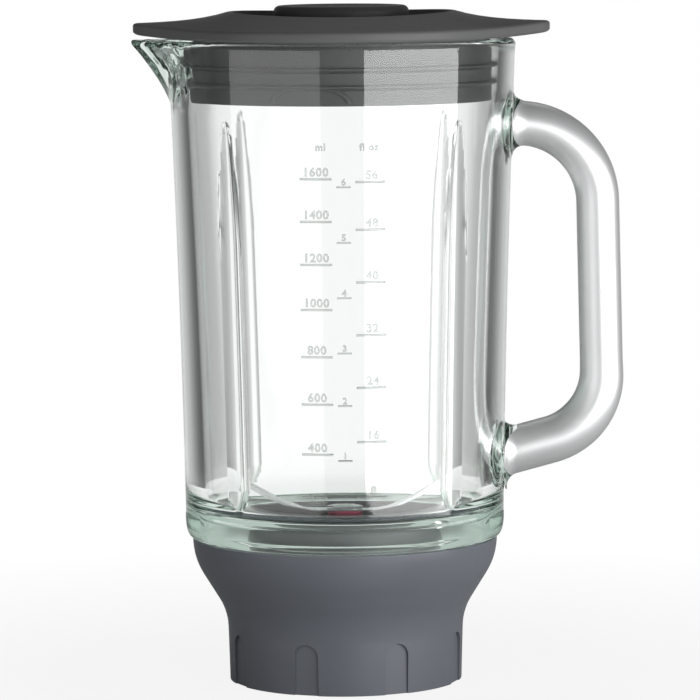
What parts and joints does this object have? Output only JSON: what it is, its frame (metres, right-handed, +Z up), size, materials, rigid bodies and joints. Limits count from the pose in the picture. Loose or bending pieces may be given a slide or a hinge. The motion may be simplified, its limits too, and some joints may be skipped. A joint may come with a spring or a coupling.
{
  "type": "blender jar",
  "caption": "Ribbed glass blender jar with a spout, side handle, winged lid with filler cap, and a screw-on base collar holding a spinning blade unit.",
  "frame": {"origin": "on the jar's axis at the bottom of the base collar, the mouth of its drive socket", "axes": "+Z up along the jar's axis, +X towards the handle, -X towards the spout, -Y towards the front, where the scale is"},
  "size_m": [0.1994, 0.1416, 0.2765],
  "materials": {
    "jar_glass": "clear pressed glass with a faint green tint, the handle satin",
    "lid_plastic": "satin dark grey",
    "lid_seal_rubber": "soft dark grey",
    "cap_plastic": "glossy dark grey",
    "collar_plastic": "satin blue-grey",
    "sealing_silicone": "soft dark grey silicone",
    "spacer_plastic": "crimson moulding",
    "carrier_plastic": "dark grey moulding",
    "housing_metal": "turned light metal",
    "bush_metal": "plain bearing metal",
    "shaft_seal_rubber": "black seal",
    "shaft_steel": "turned stainless steel",
    "blade_steel": "ground stainless steel",
    "washer_plastic": "natural low-friction plastic",
    "coupling_plastic": "black moulding"
  },
  "bodies": {
    "jar": {"glass_jar": "jar_glass", "lid": "lid_plastic", "lid_seal": "lid_seal_rubber", "filler_cap": "cap_plastic", "base_collar": "collar_plastic", "sealing_ring": "sealing_silicone", "blade_carrier": "carrier_plastic", "bearing_housing": "housing_metal", "upper_bush": "bush_metal", "lower_bush": "bush_metal", "shaft_seal": "shaft_seal_rubber"},
    "rotor": {"blade_shaft": "shaft_steel", "upper_thrust_washer": "washer_plastic", "lower_thrust_washer": "washer_plastic", "lower_blade": "blade_steel", "blade_spacer": "spacer_plastic", "upper_blade": "blade_steel", "lock_washer": "shaft_steel", "blade_nut": "shaft_steel", "drive_coupling": "coupling_plastic", "coupling_screw": "shaft_steel"}
  },
  "joints": [
    {"name": "blade_spin", "type": "hinge", "parent": "jar", "child": "rotor", "pos_m": [0, 0, 0.05], "axis": [0, 0, 1], "continuous": true}
  ]
}
